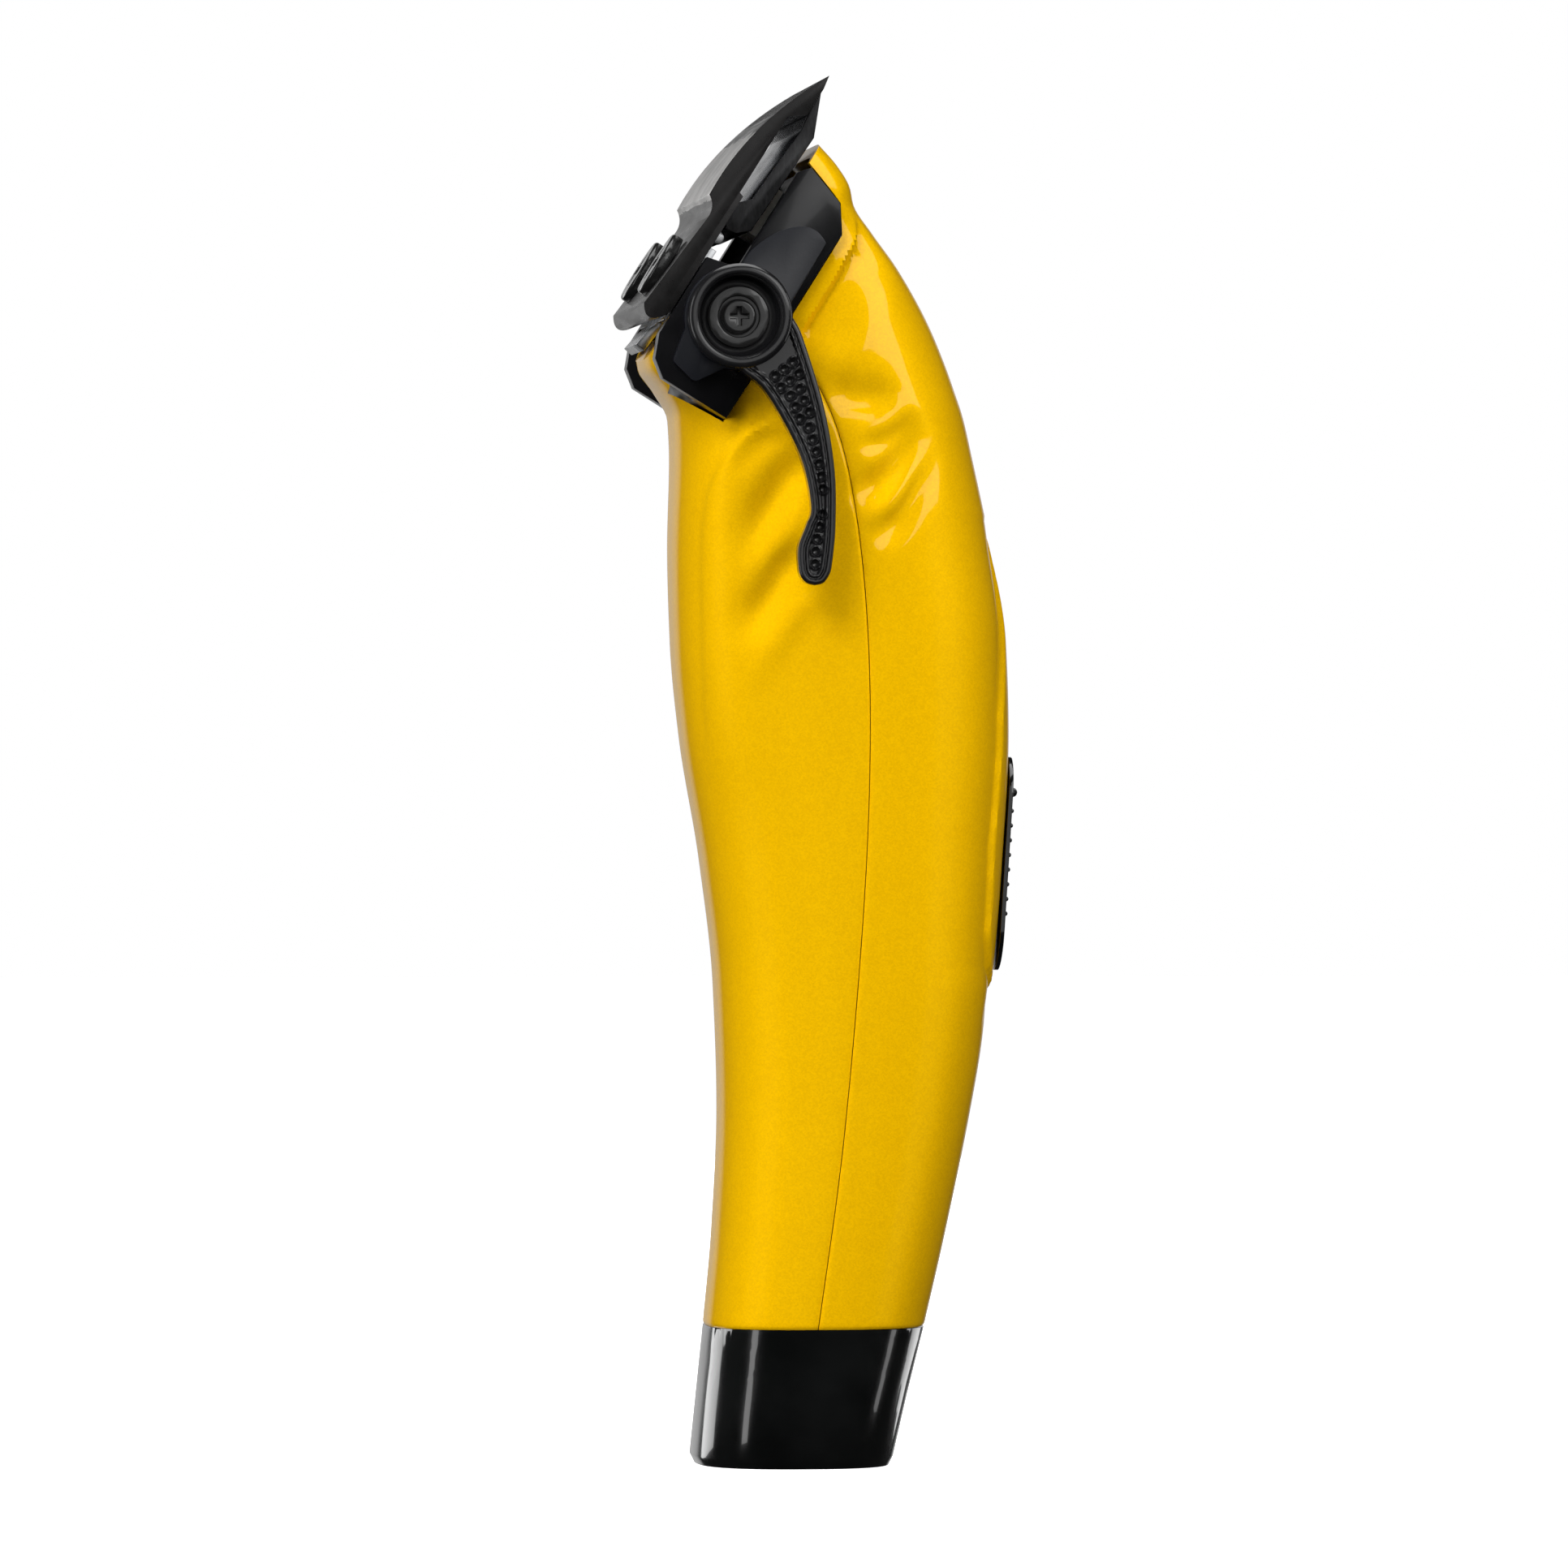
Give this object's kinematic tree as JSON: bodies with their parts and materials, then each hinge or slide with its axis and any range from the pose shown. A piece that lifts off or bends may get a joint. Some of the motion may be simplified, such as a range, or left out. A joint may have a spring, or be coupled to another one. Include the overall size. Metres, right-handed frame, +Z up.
{
  "type": "hair clipper",
  "caption": "Cordless hair clipper with an arched two-shell body, angled blade set, taper lever on one side and a sliding thumb switch on the back.",
  "frame": {"origin": "centre of the base cap's resting face", "axes": "+Z up towards the blades, -X the skin side of the blades, +X the thumb switch side, -Y the taper lever side"},
  "size_m": [0.0501, 0.0538, 0.1782],
  "materials": {
    "yellow_shell": "pearl metallic yellow lacquer",
    "black_gloss": "gloss black",
    "black_satin": "satin black moulding",
    "black_lever": "satin black coated casting",
    "blade_steel": "ground and black coated blade steel",
    "cutter_steel": "black coated, ground ends",
    "black_screw": "black oxide",
    "steel": "zinc plated",
    "brass": "turned",
    "nylon": "natural",
    "lamination": "varnished laminations",
    "copper": "enamelled copper winding",
    "magnet": "nickel plated magnet",
    "cell_wrap": "shrink sleeve",
    "board_green": "solder mask",
    "chip": "moulded"
  },
  "bodies": {
    "housing": {"front_shell": "yellow_shell", "rear_shell": "yellow_shell", "base_cap": "black_gloss", "base_plate": "black_satin", "base_screws": "steel", "charge_port": "steel", "port_board": "board_green", "head_frame": "black_satin", "side_plate_lever": "black_satin", "side_plate_plain": "black_satin", "head_screws": "steel", "pivot_pin": "steel", "motor_core": "lamination", "coil_bobbin": "nylon", "motor_coil": "copper", "motor_frame": "steel", "motor_screws": "steel", "return_springs": "steel", "battery_cell": "cell_wrap", "battery_tabs": "steel", "battery_cradle": "black_satin", "circuit_board": "board_green", "board_parts": "chip", "slide_switch": "chip"},
    "lever": {"taper_lever": "black_lever", "lever_washer": "black_screw", "lever_screw": "black_screw", "lever_cam": "steel"},
    "blade_carriage": {"fixed_blade": "blade_steel", "cutter_guide": "black_satin", "blade_screws": "black_screw", "blade_bracket": "steel"},
    "cutter": {"moving_cutter": "cutter_steel", "cutter_block": "nylon"},
    "drive": {"drive_arm": "nylon", "pivot_bush": "brass", "armature": "steel", "arm_magnets": "magnet"},
    "switch": {"switch_slider": "black_gloss"}
  },
  "joints": [
    {"name": "taper_lever_hinge", "type": "hinge", "parent": "housing", "child": "lever", "pos_m": [-0.00963, -0.023, 0.14728], "axis": [0, 1, 0], "range_deg": [0, 45]},
    {"name": "blade_slide", "type": "slide", "parent": "housing", "child": "blade_carriage", "axis": [0.5329, 0, 0.8462], "range_m": [-0.0019, 0]},
    {"name": "drive_arm_hinge", "type": "hinge", "parent": "housing", "child": "drive", "pos_m": [0.004, 0, 0.128], "axis": [-0.9824, 0, -0.187], "range_deg": [-2.56, 2.56], "stiffness_Nm_per_rad": 1, "deforming": ["return_springs"]},
    {"name": "cutter_slide", "type": "slide", "parent": "housing", "child": "cutter", "axis": [0, 1, 0], "range_m": [-0.0015, 0.0015]},
    {"name": "switch_slide", "type": "slide", "parent": "housing", "child": "switch", "axis": [0.0628, 0, 0.998], "range_m": [0, 0.0035]}
  ],
  "couplings": [
    {"joint": "taper_lever_hinge", "follows": "blade_slide", "rad_per_m": -413.36},
    {"joint": "drive_arm_hinge", "follows": "cutter_slide", "rad_per_m": 29.799}
  ]
}
